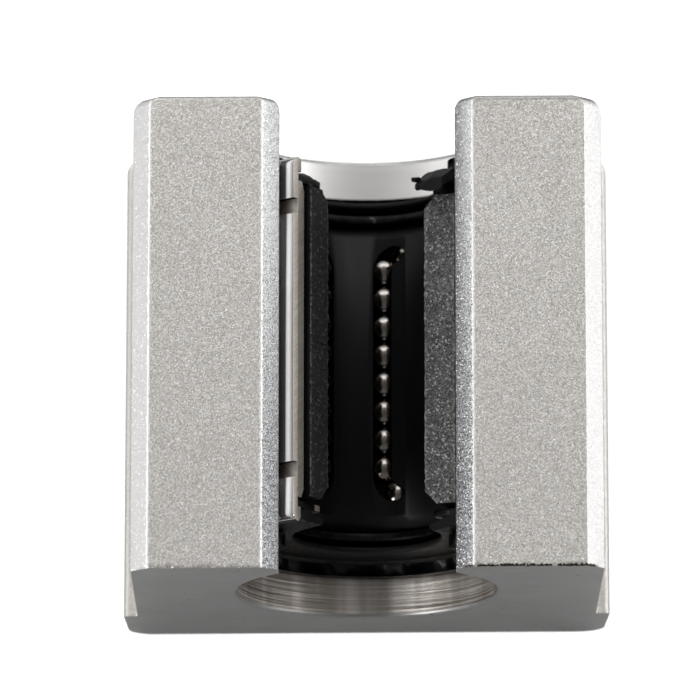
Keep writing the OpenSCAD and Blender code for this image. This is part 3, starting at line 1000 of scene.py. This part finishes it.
def build_set_screw():
    """A grub screw with a thread, a cup point at its inner end and a hex socket at its outer end."""
    around = 48
    step = SCREW_PITCH / 8
    rows = [step * k for k in range(int(SCREW_LENGTH / step) + 1)]

    def thread(angle, z):
        r = SCREW_MINOR + (SCREW_MAJOR - SCREW_MINOR) * thread_depth(angle, z, SCREW_PITCH)
        from_end = min(z, SCREW_LENGTH - z)
        return min(r, SCREW_END + from_end) if from_end < 0.5 else r

    def cup(angle, z):
        return CUP_RADIUS

    def hexagon(angle, z):
        within = (angle % (math.pi / 3)) - math.pi / 6
        return SOCKET * math.cos(math.pi / 6) / math.cos(within)

    points, faces = revolved(rows, around, thread)
    faces = faces[:-2]
    last_row = len(points) - around
    cup_rim = len(points)
    points += ring(around, 0, cup)
    points.append((0, 0, CUP_DEPTH))
    faces += band(cup_rim, 0, around) + fan(cup_rim, cup_rim + around, around)
    mouth = len(points)
    floor = mouth + around
    points += ring(around, rows[-1], hexagon)
    points += ring(around, rows[-1] - SOCKET_DEPTH, hexagon)
    points.append((0, 0, rows[-1] - SOCKET_DEPTH - SOCKET_TIP))
    faces += band(last_row, mouth, around) + band(mouth, floor, around) + fan(floor, floor + around, around)
    mesh = mesh_from("grub_screw", [(SCREW_FROM + z, y, x) for x, y, z in points], faces)
    face_outwards(mesh)
    finish_piece("grub_screw", mesh, [OXIDE], "set_screw", "set_screw", 30)


# ---------------------------------------------------------------- camera, light and floor
CAMERA_TILT = math.radians(13.13)
CAMERA_DISTANCE = 538.4 * MM
CAMERA_SHIFT_X = -1.38 * MM
CAMERA_SHIFT_UP = 0.86 * MM
CAMERA_LENS = 340.1
CAMERA_STOP = 60
FOCUS_HEIGHT = 9 * MM
FLOOR_HALF = 1500
FLOOR_GAP = 0.02


def add_camera():
    """The photograph's view: almost straight down, from a little beyond the near end."""
    data = bpy.data.cameras.new("camera")
    data.lens = CAMERA_LENS
    data.sensor_width = 36
    data.clip_start = 0.01
    data.clip_end = 10
    camera = bpy.data.objects.new("camera", data)
    bpy.context.scene.collection.objects.link(camera)
    s, c = math.sin(CAMERA_TILT), math.cos(CAMERA_TILT)
    camera.location = (
        CAMERA_SHIFT_X,
        CAMERA_SHIFT_UP * c - CAMERA_DISTANCE * s,
        CAMERA_SHIFT_UP * s + CAMERA_DISTANCE * c,
    )
    camera.rotation_euler = (CAMERA_TILT, 0, 0)
    focus = bpy.data.objects.new("focus", None)
    focus.location = (0, 0, FOCUS_HEIGHT)
    bpy.context.scene.collection.objects.link(focus)
    data.dof.use_dof = True
    data.dof.focus_object = focus
    data.dof.aperture_fstop = CAMERA_STOP
    bpy.context.scene.camera = camera


def area_light(name, location, size, power):
    """A soft rectangular light that looks at the middle of the bushing."""
    data = bpy.data.lights.new(name, "AREA")
    data.shape = "RECTANGLE"
    data.size, data.size_y = size
    data.energy = power
    light = bpy.data.objects.new(name, data)
    bpy.context.scene.collection.objects.link(light)
    light.location = location
    light.rotation_euler = (-Vector(location)).to_track_quat("-Z", "Y").to_euler()


def add_floor():
    """A pale floor, whose glow only the camera sees."""
    corners = ((-1, -1), (1, -1), (1, 1), (-1, 1))
    points = [(x * FLOOR_HALF, y * FLOOR_HALF, FACE_BOTTOM - FLOOR_GAP) for x, y in corners]
    mesh = mesh_from("floor", points, [(0, 1, 2, 3)])
    made, tree = new_material("floor")
    plain = tree.nodes["Principled BSDF"]
    give(tree, plain.inputs["Base Color"], (0.62, 0.62, 0.62))
    give(tree, plain.inputs["Roughness"], 0.8)
    seen = add(tree, "BsdfDiffuse", {"Color": (0.92, 0.92, 0.92)})
    glow = add(tree, "Emission", {"Color": (1, 1, 1), "Strength": 0.85})
    both = add(tree, "AddShader", {0: seen.outputs[0], 1: glow.outputs[0]})
    camera_ray = add(tree, "LightPath").outputs["Is Camera Ray"]
    mixed = add(tree, "MixShader", {0: camera_ray, 1: plain.outputs[0], 2: both.outputs[0]})
    give(tree, tree.nodes["Material Output"].inputs["Surface"], mixed.outputs[0])
    mesh.materials.append(made)
    floor = bpy.data.objects.new("floor", mesh)
    bpy.context.scene.collection.objects.link(floor)


def add_world():
    """White for the camera, and for the metal a studio that is darker in front and overhead."""
    world = bpy.data.worlds.new("world")
    bpy.context.scene.world = world
    world.use_nodes = True
    tree = world.node_tree
    split = split_place(tree, add(tree, "TexCoord").outputs["Generated"])
    around = ramp(tree, split["Y"], -0.6, 0.6, 0.25, 1.0)
    above = ramp(tree, split["Z"], 0.98, 0.65, 0.28, 0.9)
    camera_ray = add(tree, "LightPath").outputs["Is Camera Ray"]
    strength = add(tree, "Mix", {0: camera_ray, 2: times(tree, around, above), 3: 1.0}, data_type="FLOAT")
    background = tree.nodes["Background"].inputs
    give(tree, background["Strength"], strength.outputs[0])
    give(tree, background["Color"], (1, 1, 1))


# ---------------------------------------------------------------- the scene
build_block()
build_sleeve()
build_cage()
for which in ("front", "rear"):
    build_end_ring(which)
    build_circlip(which)
    build_wiper(which)
build_set_screw()
for node_name, node_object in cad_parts.items():
    if node_name.startswith("balls"):
        node_object.data.materials.clear()
        node_object.data.materials.append(BALL)

add_camera()
area_light("left", (-0.42, 0.05, 0.10), (0.5, 0.28), 0.32)
area_light("front_left", (-0.36, -0.26, 0.20), (0.16, 0.16), 0.85)
area_light("right", (0.42, 0.05, 0.12), (0.5, 0.30), 0.76)
area_light("back", (0.0, 0.6, 0.45), (0.9, 0.4), 2.0)
add_floor()
add_world()
bpy.context.scene.view_settings.view_transform = "Standard"
